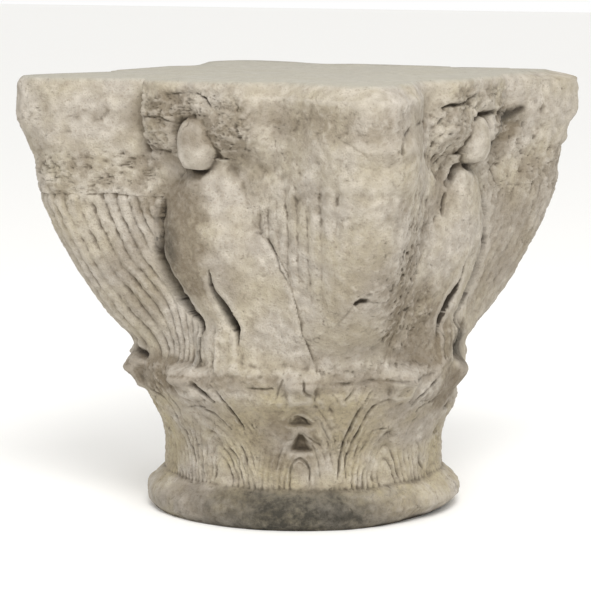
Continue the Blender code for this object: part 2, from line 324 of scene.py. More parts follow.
@dataclass
class Block:
    """The block before the carving: round at the neck, square with hollow sides at the top."""

    height: float
    horn_radius: float = 0.256
    side_radius: float = 0.152
    horn_start: float = 39.0
    ledge_height: float = 0.133
    ledge_radius: float = 0.154
    neck_radius: float = 0.1245
    ring_radius: float = 0.1405
    ring_height: float = 0.033
    ring_foot_radius: float = 0.135
    ring_profile: Curve = ((0.18, -0.001), (0.35, 0.0), (0.55, -0.001), (0.87, -0.010))
    corner_reach: Curve = (
        (0.00, 0.24), (0.06, 0.235), (0.17, 0.41), (0.33, 0.62), (0.50, 0.80), (0.60, 0.87),
        (0.72, 0.905), (0.80, 0.965), (0.90, 0.975), (1.00, 0.98),
    )
    horn_lip: Curve = ((0.81, 0.02), (0.865, 0.045), (1.00, 0.03))
    bell_reach: Curve = ((0.00, 1.00), (0.07, 0.75), (0.20, 0.80), (0.40, 1.00), (1.00, 1.00))
    neck_flare: Curve = (
        (0.27, 0.0), (0.40, 0.09), (0.54, 0.31), (0.69, 0.57), (0.84, 0.90), (1.00, 1.00),
    )

    def share(self, height: Array) -> Array:
        """A height as a share of the bird zone, from the ledge to the top."""
        return (height - self.ledge_height) / (self.height - self.ledge_height)

    def at_share(self, share: float) -> float:
        """The height of a share of the bird zone."""
        return self.ledge_height + share * (self.height - self.ledge_height)

    def ring_and_neck(self, height: Array) -> Array:
        """The turned profile of the neck ring and the neck, up to the ledge.

        Args:
            height: heights above the lower bed.

        Returns:
            The profile's radius at each height.
        """
        low, neck = self.ring_height, self.neck_radius
        tall, wide = self.ledge_height - low, self.ledge_radius - neck
        return through(
            (
                (0.0, self.ring_foot_radius),
                *((up * low, self.ring_radius + out) for up, out in self.ring_profile),
                (low + 0.001, neck),
                *((low + up * tall, neck + out * wide) for up, out in self.neck_flare),
            ),
            height,
        )

    def bell(self, angle: Array, share: Array) -> Array:
        """The square part with hollow sides, above the ledge.

        Args:
            angle: degrees from the middle of the nearest side.
            share: heights as shares of the bird zone.

        Returns:
            The distance from the axis.
        """
        toward = (np.abs(angle) / self.horn_start) ** 3
        corner_weight = toward / (1 + toward**6) ** (1 / 6)
        end = rise(np.abs(angle), 37.0, 43.0)
        reach = through(self.corner_reach, share)
        reach = reach + end * rise(share, 0.79, 0.83) * through(self.horn_lip, share)
        corner = self.neck_radius + (self.horn_radius - self.neck_radius) * reach
        side = self.neck_radius + (self.side_radius - self.neck_radius) * through(self.bell_reach, share)
        return side + (corner - side) * corner_weight


@dataclass
class LeafRing:
    """The ring of stiff leaves: nested arches, ribs that fan out between them, and tips on the ledge."""

    count: int = 10
    turn: float = 29.0
    tip_reach: float = 0.010
    rib_width: float = 0.012
    rib_depth: float = 0.0030
    arch_height: float = 0.022
    arch_slimness: float = 2.36
    arch_power: float = 1.7
    cup_depth: float = 0.0025
    fold_depth: float = 0.006
    # each hole's place and half-height as shares of the leaf zone, its slope, and its depth
    holes: tuple[tuple[float, ...], ...] = ((0.40, 0.075, 1.4, 0.009), (0.60, 0.040, 1.9, 0.006))
    leans: dict[int, float] = field(default_factory=lambda: {-1: -9.0, 0: 0.0, 1: -3.0, 2: -5.0})

    def relief(self, direction: Array, height: Array, block: Block, ribbed: Array) -> Array:
        """How far the leaves stand out from the neck.

        Args:
            direction: degrees round the axis.
            height: heights above the lower bed.
            block: the block that carries them.
            ribbed: how much of the ribs is left, from 0 to 1.

        Returns:
            The distance outwards, negative in the grooves.
        """
        pitch = 360.0 / self.count
        zone = block.ledge_height - block.ring_height
        up = np.maximum(height - block.ring_height - 0.002, 0.0)
        number = np.round((direction - self.turn) / pitch)
        lean = sum(tilt * (number == leaf) for leaf, tilt in self.leans.items())
        turned = direction - self.turn - number * pitch - lean * (up / zone - 0.35)
        aside = self.arch_slimness * arc(np.abs(turned), block.neck_radius)
        arch = (aside**self.arch_power + up**self.arch_power) ** (1 / self.arch_power)
        inner = arch - self.arch_height
        ribs = ridges(inner, self.rib_width) * (inner > 0) + (inner <= 0) * rise(-inner, 0.0, 0.004)
        cut = self.rib_depth * ribbed * (1 - ribs) * between(up / zone, -0.10, 0.88, 0.04)
        cup = self.cup_depth * (1 - rise(arch, 0.030, 0.055)) * rise(up, 0.0, 0.006)
        cut = cut + cup * np.where(number == 0, 0.2, 1.0)

        every_other = number % 2 == 0
        for hole, tall, slope, deep in self.holes:
            wide = 2.2 * np.clip(slope - (up / zone - hole) / tall, 0.0, 2.4)
            inside = between(up / zone, hole - tall, hole + tall, 0.022)
            deep = deep * np.where(every_other, 1.0, 0.15)
            cut = cut + deep * inside * (1 - rise(np.abs(turned), 0.45 * wide, wide + 0.8))

        near_axis = 1 - rise(np.abs(turned), 2.0, 9.0)
        tip = self.tip_reach * near_axis * between(up / zone, 0.90, 1.10, 0.07)
        fold = self.fold_depth * (1 - rise(np.abs(turned), 3.0, 5.0)) * between(up / zone, 0.76, 0.95, 0.03)
        return tip + fold - cut


@dataclass
class Bird:
    """A standing bird with its wings spread to the corners. Neighbours mirror each other."""

    breast_radius: float = 0.167
    tail_radius: float = 0.146
    crevice_depth: float = 0.040
    feather_step: float = 2.1
    feather_depth: float = 0.0036
    feather_top: float = 0.605
    near_step: float = 2.8
    near_depth: float = 0.62
    bend: float = 65.6
    bend_limit: float = 15.0
    arch_lift: float = 0.003
    hollow_depth: float = 0.004
    band_depth: float = 0.0012
    wing_step: float = 0.003
    tail_lift: float = 0.003
    flute_depth: float = 0.0012
    free_recess: float = 0.018
    edge_drop: float = 0.006
    body_reach: Curve = (
        (0.00, -0.05), (0.15, 0.05), (0.22, 0.25), (0.31, 0.62), (0.40, 0.90), (0.50, 1.00),
        (0.64, 0.95), (0.71, 0.70), (0.80, 0.60),
    )
    free_edge: Curve = (
        (0.00, -8.0), (0.12, -7.0), (0.17, -6.5), (0.22, -12.0), (0.30, -17.5), (0.40, -21.5),
        (0.50, -21.5), (0.58, -19.0), (0.65, -14.0), (0.72, -9.0),
    )
    wing_edge: Curve = (
        (0.00, 34.0), (0.06, 32.5), (0.20, 29.0), (0.33, 26.0), (0.42, 22.5), (0.50, 16.5),
        (0.58, 13.0), (0.65, 11.0), (0.72, 8.0),
    )
    thigh_line: Curve = ((0.13, 8.5), (0.22, 5.0), (0.32, 0.5))
    wing_arch: Curve = (
        (5.0, 0.61), (11.0, 0.64), (17.0, 0.68), (26.0, 0.735), (34.0, 0.755), (40.0, 0.74), (45.0, 0.72),
    )
    near_top: Curve = ((10.0, 0.50), (17.0, 0.56), (25.0, 0.62), (34.0, 0.65), (45.0, 0.66))
    free_crevice: Curve = (
        (0.14, 0.001), (0.20, 0.011), (0.26, 0.016), (0.32, 0.012), (0.40, 0.005), (0.56, 0.001),
    )
    thigh_crevice: Curve = ((0.13, 0.001), (0.18, 0.011), (0.24, 0.012), (0.31, 0.005), (0.38, 0.001))

    def wings(self, angle: Array, share: Array, wear: Array) -> Array:
        """The feathers of both spread wings, and the hollow above each.

        Args:
            angle: degrees from the middle of the nearest side.
            share: heights as shares of the bird zone.
            wear: how much of the feathers is left, from 0 to 1.

        Returns:
            The distance outwards, negative in the grooves.
        """
        away = np.maximum(0.0, self.feather_top - share)
        bend = self.bend * away**1.4 * np.maximum((angle + 45.0) / 28.0, 0.0) ** 1.7
        free_root = angle - self.bend_limit * np.tanh(bend / self.bend_limit)
        free = ridges(free_root, self.feather_step) * between(share, 0.04, self.feather_top, 0.012)
        under_body = angle > through(self.free_edge, share) - 0.3
        free = np.where((share > self.feather_top) | under_body, 1.0, free)

        top = through(self.near_top, angle)
        near_root = angle - 4.0 * np.maximum(0.66 - share, 0.0) * rise(angle, 20.0, 40.0)
        cut = rise(share, 0.16, 0.42) * (1 - rise(share, top, top + 0.06))
        edge = through(self.wing_edge, share)
        cut = cut * rise(angle, edge, edge + 1.5) * self.near_depth
        near = 1.0 - cut * (1.0 - ridges(near_root, self.near_step)) * (1 - 0.85 * rise(angle, 37.0, 44.0))

        arch = through(self.wing_arch, angle)
        lifted = self.arch_lift * between(share, top, arch, 0.02) * rise(angle, 8.0, 14.0)
        hollow = self.hollow_depth * between(angle, 15.0, 36.0, 5.0) * between(share, 0.82, 0.97, 0.05)
        band = between(angle, -42.0, -20.0, 3.0) * between(share, self.feather_top, 0.74, 0.04)
        feathers = self.feather_depth * wear * (np.where(angle < 0, free, near) - 1.0)
        return feathers + lifted - hollow - self.band_depth * band

    def body(self, angle: Array, share: Array, ground: Array, wear: Array) -> Array:
        """The breast, thighs and tail, over the surface that they stand on.

        Args:
            angle: degrees from the middle of the nearest side.
            share: heights as shares of the bird zone.
            ground: the distance from the axis without the body.
            wear: how much of the step on the wing is left, from 0 to 1.

        Returns:
            The distance from the axis with the body.
        """
        left = through(self.free_edge, share)
        right = through(self.wing_edge, share)
        reach = through(self.body_reach, share)
        middle = self.tail_radius + (self.breast_radius - self.tail_radius) * reach
        merged = rise(share, 0.50, 0.63)
        fullness = 0.5 - 0.22 * rise(share, 0.26, 0.40) + 0.67 * merged
        free_side = np.clip(1 - (angle / left) ** 2, 0.0, 1.0) ** fullness
        wing_side = np.clip(1 - (angle / right) ** 2, 0.0, 1.0)
        free_edge = middle - self.free_recess * rise(share, 0.10, 0.35) - self.edge_drop
        free_edge = free_edge + (np.minimum(ground, middle) - free_edge) * merged
        wing_edge = ground + self.wing_step * wear * (1 - rise(share, 0.44, 0.54))
        surface = np.where(
            angle < 0,
            free_edge + (middle - free_edge) * free_side,
            wing_edge + np.maximum(middle - wing_edge, 0.0) * wing_side,
        )
        inside = (angle > left) & (angle < right) & (share < 0.74)
        return np.where(inside, np.maximum(surface, ground - 0.02 * (angle < 0)), ground)

    def tail(self, angle: Array, share: Array) -> Array:
        """The fluted tail over the ledge.

        Args:
            angle: degrees from the middle of the nearest side.
            share: heights as shares of the bird zone.

        Returns:
            The distance outwards.
        """
        width = 8.0 + 1.5 * (0.14 - share) / 0.14
        flutes = ridges(angle + width, width / 2.5)
        inside = between(angle, -width, width, 0.8) * between(share, 0.0, 0.14, 0.015)
        return (self.tail_lift + self.flute_depth * flutes) * inside

    def crevices(self, angle: Array, share: Array, radius: Array, height: float) -> Array:
        """The deep cuts: under the free wing, between the thighs, and along the wing's inner edge.

        Args:
            angle: degrees from the middle of the nearest side.
            share: heights as shares of the bird zone.
            radius: the distance from the axis before the cuts.
            height: the capital's whole height.

        Returns:
            The depth of the cuts.
        """
        width = height * through(self.free_crevice, share)
        beside = np.abs(arc(angle - through(self.free_edge, share), radius) + 0.1 * width)
        deep = 0.6 * self.crevice_depth * between(share, 0.18, 0.40, 0.06)
        deep = deep + 0.0012 * between(share, 0.46, 0.56, 0.04)
        cut = deep * (1 - rise(beside, 0.9 * width, width + 0.0008))

        width = height * through(self.thigh_crevice, share)
        beside = np.abs(arc(angle - through(self.thigh_line, share), radius))
        deep = 0.6 * self.crevice_depth * between(share, 0.15, 0.33, 0.05)
        cut += deep * (1 - rise(beside, 0.8 * width, width + 0.0008))

        beside = np.abs(arc(angle - through(self.wing_edge, share), radius))
        cut += 0.0006 * between(share, 0.06, 0.44, 0.03) * (1 - rise(beside, 0.0005, 0.0030))
        return cut


@dataclass
class HeadAndBoss:
    """The rough boss in the middle of a side, and the worn head cut free under it."""

    boss_radius: float = 0.174
    boss_foot: float = 0.70
    boss_edges: tuple[float, float] = (-20.8, 15.5)
    head_radius: float = 0.177
    head_width: float = 0.036
    head_length: float = 0.045
    head_centre: float = 0.792
    head_turn: float = -3.2
    head_foot_radius: float = 0.160
    recess: float = 0.005
    groove_depth: float = 0.010
    boss_dip: float = 0.006

    def surface(self, angle: Array, height: Array, block: Block, ground: Array) -> Array:
        """The head and boss over the surface behind them.

        Args:
            angle: degrees from the middle of the nearest side.
            height: heights above the lower bed.
            block: the block that carries them.
            ground: the distance from the axis without them.

        Returns:
            The distance from the axis with them.
        """
        share = block.share(height)
        left, right = self.boss_edges
        dip = self.boss_dip * (1 - rise(angle, left, left + 9.0))
        front = self.boss_radius / np.cos(np.radians(angle)) - dip
        width = rise(angle, left - 0.6, left + 0.6) * (1 - rise(angle, right - 3.0, right + 11.0))
        boss = ground + np.maximum(front - ground, 0.0) * rise(share, self.boss_foot, 0.84) * width

        across = arc(angle - self.head_turn, self.head_radius) / (0.5 * self.head_width)
        along = (height - block.at_share(self.head_centre)) / (0.5 * self.head_length)
        out = (np.abs(across) ** 3.2 + np.abs(along) ** 3.0) ** (1 / 3.1)
        boss = boss - self.recess * (1 - rise(out, 1.0, 1.45)) * (1 - 0.7 * rise(across, 0.0, 1.0))
        beside = (1 - rise(across, -0.9, -0.2)) * (1 - 0.6 * rise(along, 0.0, 0.9))
        under = 0.45 * (1 - rise(along, -1.0, -0.5)) * (1 - rise(across, 0.0, 0.8))
        cut_free = self.groove_depth * np.maximum(beside, under)
        groove = cut_free * between(out, 0.98, 1.10, 0.05)
        egg = np.clip(1 - out**2.6, 0.0, 1.0) ** 0.36
        head = self.head_foot_radius + (self.head_radius - self.head_foot_radius) * egg
        return np.where(egg > 0, np.maximum(boss - cut_free, head), boss - groove)

    def covers(self, angle: Array, height: Array, block: Block) -> Array:
        """1 on the head's own face and 0 off it, with a soft edge."""
        across = arc(angle - self.head_turn, self.head_radius) / (0.5 * self.head_width)
        along = (height - block.at_share(self.head_centre)) / (0.5 * self.head_length)
        return 1 - rise(np.hypot(across, along), 0.75, 1.05)


@dataclass
class Weather:
    """What time did to the stone: blunt arrises, losses, cracks, pits and a rough skin."""

    block: Block
    blunting: float = 0.004
    front_loss: float = 0.018
    horn_loss: float = 0.030
    corner_loss: float = 0.008
    chip_loss: float = 0.003
    ledge_loss: float = 0.007
    foot_loss: float = 0.010

    def losses(self, direction: Array, height: Array) -> Array:
        """The large losses: blunt arrises, the slab's worn front edge and broken corners.

        Args:
            direction: degrees round the axis.
            height: heights above the lower bed.

        Returns:
            The depth that is lost.
        """
        top = self.block.height - height
        share = self.block.share(height)
        blunt = self.blunting * np.clip(1 - top / 0.006, 0.0, 1.5) ** 2
        front = self.front_loss * np.clip(1 - top / 0.014, 0.0, 1.3) * rise(direction, 6.0, 22.0)
        front = front * (1 - rise(direction, 52.0, 76.0))
        horn = self.horn_loss * np.clip(1 - top / 0.007, 0.0, 1.3) * between(direction, 122.0, 146.0, 6.0)
        corner = self.corner_loss * between(direction, 36.0, 54.0, 4.0) * rise(share, 0.79, 0.85)
        chip = self.chip_loss * between(direction, 124.0, 146.0, 6.0) * between(share, 0.77, 0.83, 0.02)
        ledge = self.ledge_loss * between(direction, 88.0, 150.0, 8.0) * between(share, -0.12, 0.06, 0.04)
        foot = self.foot_loss * np.clip(1 - height / 0.013, 0.0, 1.0) * between(direction, 62.0, 125.0, 20.0)
        return blunt + front + horn + corner + chip + ledge + foot


@dataclass
class Grid:
    """The grid of directions and heights that the surface is sampled on."""

    columns: int
    rows: int
    height: float

    @property
    def direction(self) -> Array:
        """Each column's direction, in degrees, from the far side round to it again."""
        return np.arange(self.columns) * 360.0 / self.columns - 180.0

    def meshed(self) -> tuple[Array, Array]:
        """The direction and the height of every point of the grid, a row for each height."""
        return np.meshgrid(self.direction, np.linspace(0.0, self.height, self.rows))

    def blurred(self, values: Array, radius: float, width: float) -> Array:
        """Values evened out over the surface.

        Args:
            values: one value for each point of the grid.
            radius: the surface's usual distance from the axis.
            width: the distance that they are evened over.

        Returns:
            The evened values.
        """
        pad = self.rows // 4
        padded = np.pad(values, ((pad, pad), (0, 0)), mode="edge")
        around = np.fft.rfftfreq(self.columns) * self.columns / (2 * np.pi * radius)
        up = np.fft.fftfreq(self.rows + 2 * pad) * (self.rows - 1) / self.height
        keep = np.exp(-2 * (np.pi * width) ** 2 * (around[None, :] ** 2 + up[:, None] ** 2))
        even = np.fft.irfft2(np.fft.rfft2(padded) * keep, s=padded.shape)
        return even[pad:-pad]


def marks(
    patches: tuple[Patch, ...], direction: Array, height: Array, wobble: Array, inner: float = 0.55,
) -> Array:
    """How strongly patches cover each point.

    Args:
        patches: the patches.
        direction: degrees round the axis.
        height: heights above the lower bed.
        wobble: noise that breaks up the patches' edges.
        inner: the share of the way out where a patch begins to fade.

    Returns:
        The greatest strength of any patch at each point.
    """
    total = np.zeros(direction.shape)
    for patch in patches:
        turned = (direction - patch.direction + 180.0) % 360.0 - 180.0
        out = (turned / patch.across) ** 2 + ((height / MM - patch.height) / patch.up) ** 2
        total = np.maximum(total, patch.strength * (1 - rise(np.sqrt(out) + 0.35 * wobble, inner, 1.15)))
    return total


@dataclass
class CarvedStone:
    """The whole capital as one carved block of limestone."""

    block: Block
    leaves: LeafRing
    bird: Bird
    head: HeadAndBoss
    weather: Weather
    grid: Grid
    face_limit: int = 190_000
    lines: tuple[Line, ...] = ()
    rough_patches: tuple[Patch, ...] = ()
    stain_and_shade_patches: tuple[Patch, ...] = ()
    soot_and_shade_patches: tuple[Patch, ...] = ()

    def carved(self, direction: Array, height: Array, wear: Array, ribbed: Array) -> Array:
        """The carving before the weather.

        Args:
            direction: degrees round the axis.
            height: heights above the lower bed.
            wear: how much of the feathers is left, from 0 to 1.
            ribbed: how much of the leaves' ribs is left, from 0 to 1.

        Returns:
            The distance from the axis.
        """
        side = np.round(direction / 90.0)
        angle = (direction - 90.0 * side) * np.where(side % 2 == 0, 1.0, -1.0)
        share = self.block.share(height)
        upper = self.block.bell(angle, share)
        upper = upper + self.bird.wings(angle, share, wear)
        upper = self.bird.body(angle, share, upper, wear)
        upper = upper + self.bird.tail(angle, share)
        upper = self.head.surface(angle, height, self.block, upper)
        upper = upper - self.bird.crevices(angle, share, upper, self.block.height)
        lower = self.block.ring_and_neck(height)
        leaves = self.leaves.relief(direction, height, self.block, ribbed)
        lower = lower + leaves * (height > self.block.ring_height)
        blend = rise(height, self.block.ledge_height, self.block.ledge_height + 0.012)
        return lower + (upper - lower) * blend - self.weather.losses(direction, height)

    def draw_lines(self, direction: Array, height: Array, radius: Array) -> tuple[Array, Array]:
        """The grooves and cracks that are cut by hand or broken into the stone.

        Args:
            direction: degrees round the axis.
            height: heights above the lower bed.
            radius: the distance from the axis before the lines.

        Returns:
            The depth of the lines, and how dark each point of them is painted: grime, with painted shade
            inside the cuts.
        """
        depth = np.zeros(direction.shape)
        lips = np.zeros(direction.shape)
        grime_and_shade = np.zeros(direction.shape)
        columns, tops = direction[0], height[:, 0]
        for line in self.lines:
            track = np.array(line.points)
            steps = np.linspace(0, len(track) - 1, 14 * len(track))
            place = np.arange(len(track))
            round_to = through(tuple(zip(place, track[:, 0])), steps)
            up_to = through(tuple(zip(place, track[:, 1] * MM)), steps)
            reach = max(3 * line.width, 6 * abs(line.drop)) * MM + 0.002
            near_row = np.flatnonzero((tops > up_to.min() - reach) & (tops < up_to.max() + reach))
            middle = np.interp(track[:, 0].mean(), columns, radius[near_row[len(near_row) // 2]])
            swing = np.degrees(reach / middle)
            within = (columns > round_to.min() - swing) & (columns < round_to.max() + swing)
            near_column = np.flatnonzero(within)
            area = np.ix_(near_row, near_column)
            aside = arc(direction[area][..., None] - round_to, middle)
            above = height[area][..., None] - up_to
            away = np.hypot(aside, above)
            nearest = away.argmin(-1)
            away = np.take_along_axis(away, nearest[..., None], -1)[..., 0]
            along = nearest / (len(steps) - 1)
            taper = np.sqrt(np.clip(1 - np.abs(2 * along - 1) ** 3, 0.0, 1.0))
            width = (0.35 + 0.65 * taper) * line.width * MM
            fall = np.clip(1 - away / width, 0.0, 1.0)
            shape = {Cut.CHISEL: fall**1.1, Cut.WORN: fall * fall * (3 - 2 * fall), Cut.BREAK: fall**0.6}
            cut = line.depth * MM * taper * shape[line.cut]
            if line.drop:
                below = np.take_along_axis(above, nearest[..., None], -1)[..., 0] < 0
                cut = cut + line.drop * MM * taper * below * np.clip(1 - away / reach, 0.0, 1.0)
            depth[area] = np.maximum(depth[area], cut)
            if line.cut is Cut.CHISEL:
                lip = 0.30 * line.depth * MM * taper * between(away / width, 1.1, 1.5, 0.4)
                lips[area] = np.maximum(lips[area], lip)
            # the cuts are painted dark: grime, and painted shade inside them; cracks are darkened across
            # nearly their whole width
            held = taper * fall ** (0.6 if line.cut is Cut.BREAK else 1.4)
            grime_and_shade[area] = np.maximum(grime_and_shade[area], held * min(1.0, line.depth / 3.0))
        return depth - lips * (1 - rise(depth, 0.0, 0.001)), grime_and_shade

    def weathered(self) -> dict[str, Array]:
        """The surface with all its wear, and the marks that the finish reads.

        Returns:
            The radius and each mark, one value for each point of the grid.
        """
        block = self.block
        direction, height = self.grid.meshed()
        turn = np.radians(direction)
        side = np.round(direction / 90.0)
        hand_of = np.where(side % 2 == 0, 1.0, -1.0)
        angle = (direction - 90.0 * side) * hand_of
        share = block.share(height)
        plain = np.where(share > 0, block.bell(angle, share), block.ring_and_neck(height))

        def spread(radius: Array) -> Array:
            """Points at a distance from the axis."""
            return np.stack([radius * np.sin(turn), -radius * np.cos(turn), height], axis=-1)

        around = spread(plain)
        hand = Noise(5).layered(around, 0.040, 2)
        hand_up = Noise(6).layered(around, 0.040, 2)
        shaky = Noise(7).layered(around, 0.010, 2)
        patchy = Noise(8).layered(around, 0.030, 3)
        worn_away = 0.60 * between(direction, 97.0, 150.0, 8.0) + 0.6 * between(direction, 47.0, 76.0, 5.0)
        wear = np.clip((0.85 + 0.5 * patchy) * (1 - worn_away), 0.10, 1.0)
        seen = between(direction, -62.0, 108.0, 8.0)
        faint = 0.65 - 0.35 * np.exp(-(((height - 0.055) / 0.022) ** 2))
        ribbed = np.clip(0.9 - faint * seen + 0.5 * patchy, 0.05, 1.0)
        shift, shift_up = 0.7 * hand + 0.25 * shaky, 0.0016 * hand_up + 0.0004 * shaky
        carved = self.carved(direction + shift, height + shift_up, wear, ribbed)
        lines, line_grime_and_shade = self.draw_lines(direction + 0.35 * shaky, height + 0.0008 * shaky, carved)
        uneven = np.clip(0.9 + 1.1 * Noise(10).layered(around, 0.012, 2), 0.30, 1.25)
        lines, line_grime_and_shade = lines * uneven, line_grime_and_shade * uneven

        # the deep crevices, which are painted nearly black below: painted shade where the light does not
        # reach
        crevice = self.bird.crevices(angle + shift * hand_of, share, plain, block.height)
        wobble = Noise(9).layered(around, 0.022, 3)
        boss = between(angle, -23.0, 14.0, 2.0) * rise(share, 0.70, 0.78)
        boss = boss * (1 - rise(height, block.height - 0.012, block.height - 0.004))
        band = between(angle, -43.0, -18.0, 3.0) * between(share, 0.58, 0.76, 0.03)
        chosen = marks(self.rough_patches, direction, height, wobble)
        on_head = self.head.covers(angle, height, block)
        broken = np.maximum(boss * (1 - 0.9 * on_head), np.maximum(0.75 * chosen, 0.5 * band))
        broken = np.clip(broken - 0.1, 0.0, 1.0)
        rough = np.clip(0.30 + 0.30 * wobble + np.maximum(chosen, np.maximum(boss, 0.8 * band)), 0.10, 1.0)
        rough = rough * (1 - 0.6 * on_head)

        # Heights here are in millimetres. The width of each noise's swells is in metres.
        skin = spread(carved)
        foot = np.clip(height / 0.004, 0.0, 1.0)
        eroded = (0.50 + rough) * 1.1 * Noise(21).layered(skin, 0.012, 3, 0.6)
        eroded += (0.60 + 0.65 * rough) * 0.65 * Noise(31).layered(skin, 0.0042, 2, 0.6)
        eroded += 1.0 * Noise(41).smooth(skin, 0.050)
        chipped = np.zeros(direction.shape)
        at = broken > 0.02
        lump = skin[at] + 0.005 * wobble[at][:, None]
        coarse = Noise(51).scalloped(lump, 0.021)
        fine = Noise(52).scalloped(lump, 0.009)
        flakes = terraced(Noise(53).layered(skin[at] * (1.0, 1.0, 2.4), 0.030, 4, 0.55), 3.5)
        chipped[at] = broken[at] * (2.0 * (coarse - 0.6) + 0.9 * (fine - 0.6) + 2.6 * flakes)
        flat = skin * (1.0, 1.0, 4.0)
        bedding = Noise(61).layered(flat, 0.050, 4, 0.6)
        cracks = 1.8 * (1 - rise(np.abs(bedding), 0.0, 0.05)) * np.clip(broken + 0.5 * band, 0.0, 1.0)
        hair = 1 - rise(np.abs(Noise(62).layered(skin, 0.024, 3)), 0.0, 0.030)
        hair = hair * rise(patchy, -0.05, 0.35) * (1 - between(angle, -30.0, -8.0, 3.0) * (share > 0)) * foot
        cracks = cracks + 0.9 * hair
        pits = Noise(71).layered(skin, 0.0065, 2)
        pitted = 1.3 * rise(pits, 0.45, 0.80) * (0.05 + 0.25 * rough + 1.2 * chosen)
        change = MM * (eroded * (1 - 0.6 * on_head) + chipped - cracks - pitted)
        radius = carved - MM * 0.4 - lines + change * foot
        rubbed = between(direction, 94.0, 152.0, 6.0) + between(direction, -66.0, -45.0, 4.0)
        rubbed = rubbed * between(height, 0.106, 0.150, 0.006)
        radius = radius + (self.grid.blurred(radius, 0.15, 0.005) - 0.001 - radius) * rubbed

        pit_grime = (0.15 * rough + 0.5 * chosen) * rise(pits, 0.45, 0.75) + 0.35 * hair
        # broad recesses and close creases of the relief; the finish darkens them with stain and grime, which
        # is dirt and painted shade, and paints raised ridges paler
        broad = self.grid.blurred(radius, 0.18, 0.012) - radius
        close = self.grid.blurred(radius, 0.18, 0.0035) - radius
        below_rim = 1 - rise(height, block.height - 0.014, block.height - 0.007)
        stain_and_shade = marks(self.stain_and_shade_patches, direction, height, wobble)
        soot_and_shade = marks(self.soot_and_shade_patches, direction, height, 0.5 * wobble, 0.1)
        soot_and_shade = soot_and_shade * (1 - between(height, block.ring_height, block.ledge_height - 0.010, 0.004))
        # the grime mark darkens cuts, pits and crevices: dirt, and with it painted shade, the deep crevices
        # nearly black
        return {
            "radius": radius,
            "hollow": np.clip(broad / 0.010, -1.0, 1.0) * below_rim,
            "crease_shade_ridge_pale": np.clip(close / 0.0022, -1.0, 1.0) * below_rim,
            "grime_and_shade": np.clip(line_grime_and_shade + pit_grime + rise(crevice, 0.0005, 0.005), 0.0, 1.0),
            "rough": rough,
            "stain_and_shade": stain_and_shade,
            "soot_and_shade": soot_and_shade,
            "lower": 1 - rise(height, block.ledge_height - 0.02, block.ledge_height + 0.01),
            "bed": rise(height, block.height - 0.003, block.height - 0.0005),
        }

    def mesh(self) -> bpy.types.Object:
        """The closed mesh of the capital, thinned to its face limit, with its marks.

        Returns:
            The new object.
        """
        marks_on = self.weathered()
        radius = marks_on.pop("radius")
        direction, height = self.grid.meshed()
        turn = np.radians(direction)
        sides = np.stack([radius * np.sin(turn), -radius * np.cos(turn), height], axis=-1)

        def bed(rim: Array, rings: int, dip: float) -> Array:
            """Rings of points from a rim in to the axis, over a face that dips a little."""
            share = (1 - np.arange(1, rings) / rings)[:, None, None] ** 0.8
            points = rim[None] * share
            points[..., 2] = rim[:, 2]
            if dip:
                swell = Noise(81).layered(points, 0.060, 4)
                inward = np.clip((1 - share[..., 0]) * 12, 0.0, 1.0)
                points[..., 2] -= dip * inward * np.clip(0.5 + swell, 0.0, 1.0)
            return points

        under = bed(sides[0], 8, 0.0)[::-1]
        over = bed(sides[-1], 90, 0.0016)
        rows = np.concatenate([under, sides, over])
        count, columns = rows.shape[:2]
        points = np.concatenate([rows.reshape(-1, 3), [[0, 0, rows[0, 0, 2]], [0, 0, rows[-1, 0, 2]]]])
        low = (np.arange(count - 1)[:, None] * columns + np.arange(columns)).ravel()
        right = (np.arange(count - 1)[:, None] * columns + (np.arange(columns) + 1) % columns).ravel()
        quads = np.stack([low, right, right + columns, low + columns], axis=-1)
        rim = np.arange(columns)
        following = (rim + 1) % columns
        last = (count - 1) * columns
        foot = np.stack([following, rim, np.full(columns, len(points) - 2)], axis=-1)
        cap = np.stack([last + rim, last + following, np.full(columns, len(points) - 1)], axis=-1)

        mesh = bpy.data.meshes.new("capital_stone")
        faces = quads.tolist() + foot.tolist() + cap.tolist()
        mesh.from_pydata(points.astype(np.float32), [], faces, shade_flat=False)
        mesh.validate()
        for name, values in marks_on.items():
            edge_in = np.repeat(values[:1], len(under), axis=0)
            edge_out = np.repeat(values[-1:], len(over), axis=0)
            edge_out = edge_out * (name in ("rough", "bed"))
            whole = np.concatenate([edge_in.ravel(), values.ravel(), edge_out.ravel(), [0.0, 0.0]])
            attribute = mesh.attributes.new(name, "FLOAT", "POINT")
            attribute.data.foreach_set("value", whole.astype(np.float32))

        stone = bpy.data.objects.new("capital_stone", mesh)
        bpy.context.scene.collection.objects.link(stone)
        thin = stone.modifiers.new("thin", "DECIMATE")
        thin.ratio = self.face_limit / (2 * len(quads) + 2 * columns)
        evaluated = stone.evaluated_get(bpy.context.evaluated_depsgraph_get())
        stone.data = bpy.data.meshes.new_from_object(evaluated)
        stone.modifiers.clear()
        bpy.data.meshes.remove(mesh)
        stone.data.name = "capital_stone"
        stone.data.shade_smooth()
        return stone


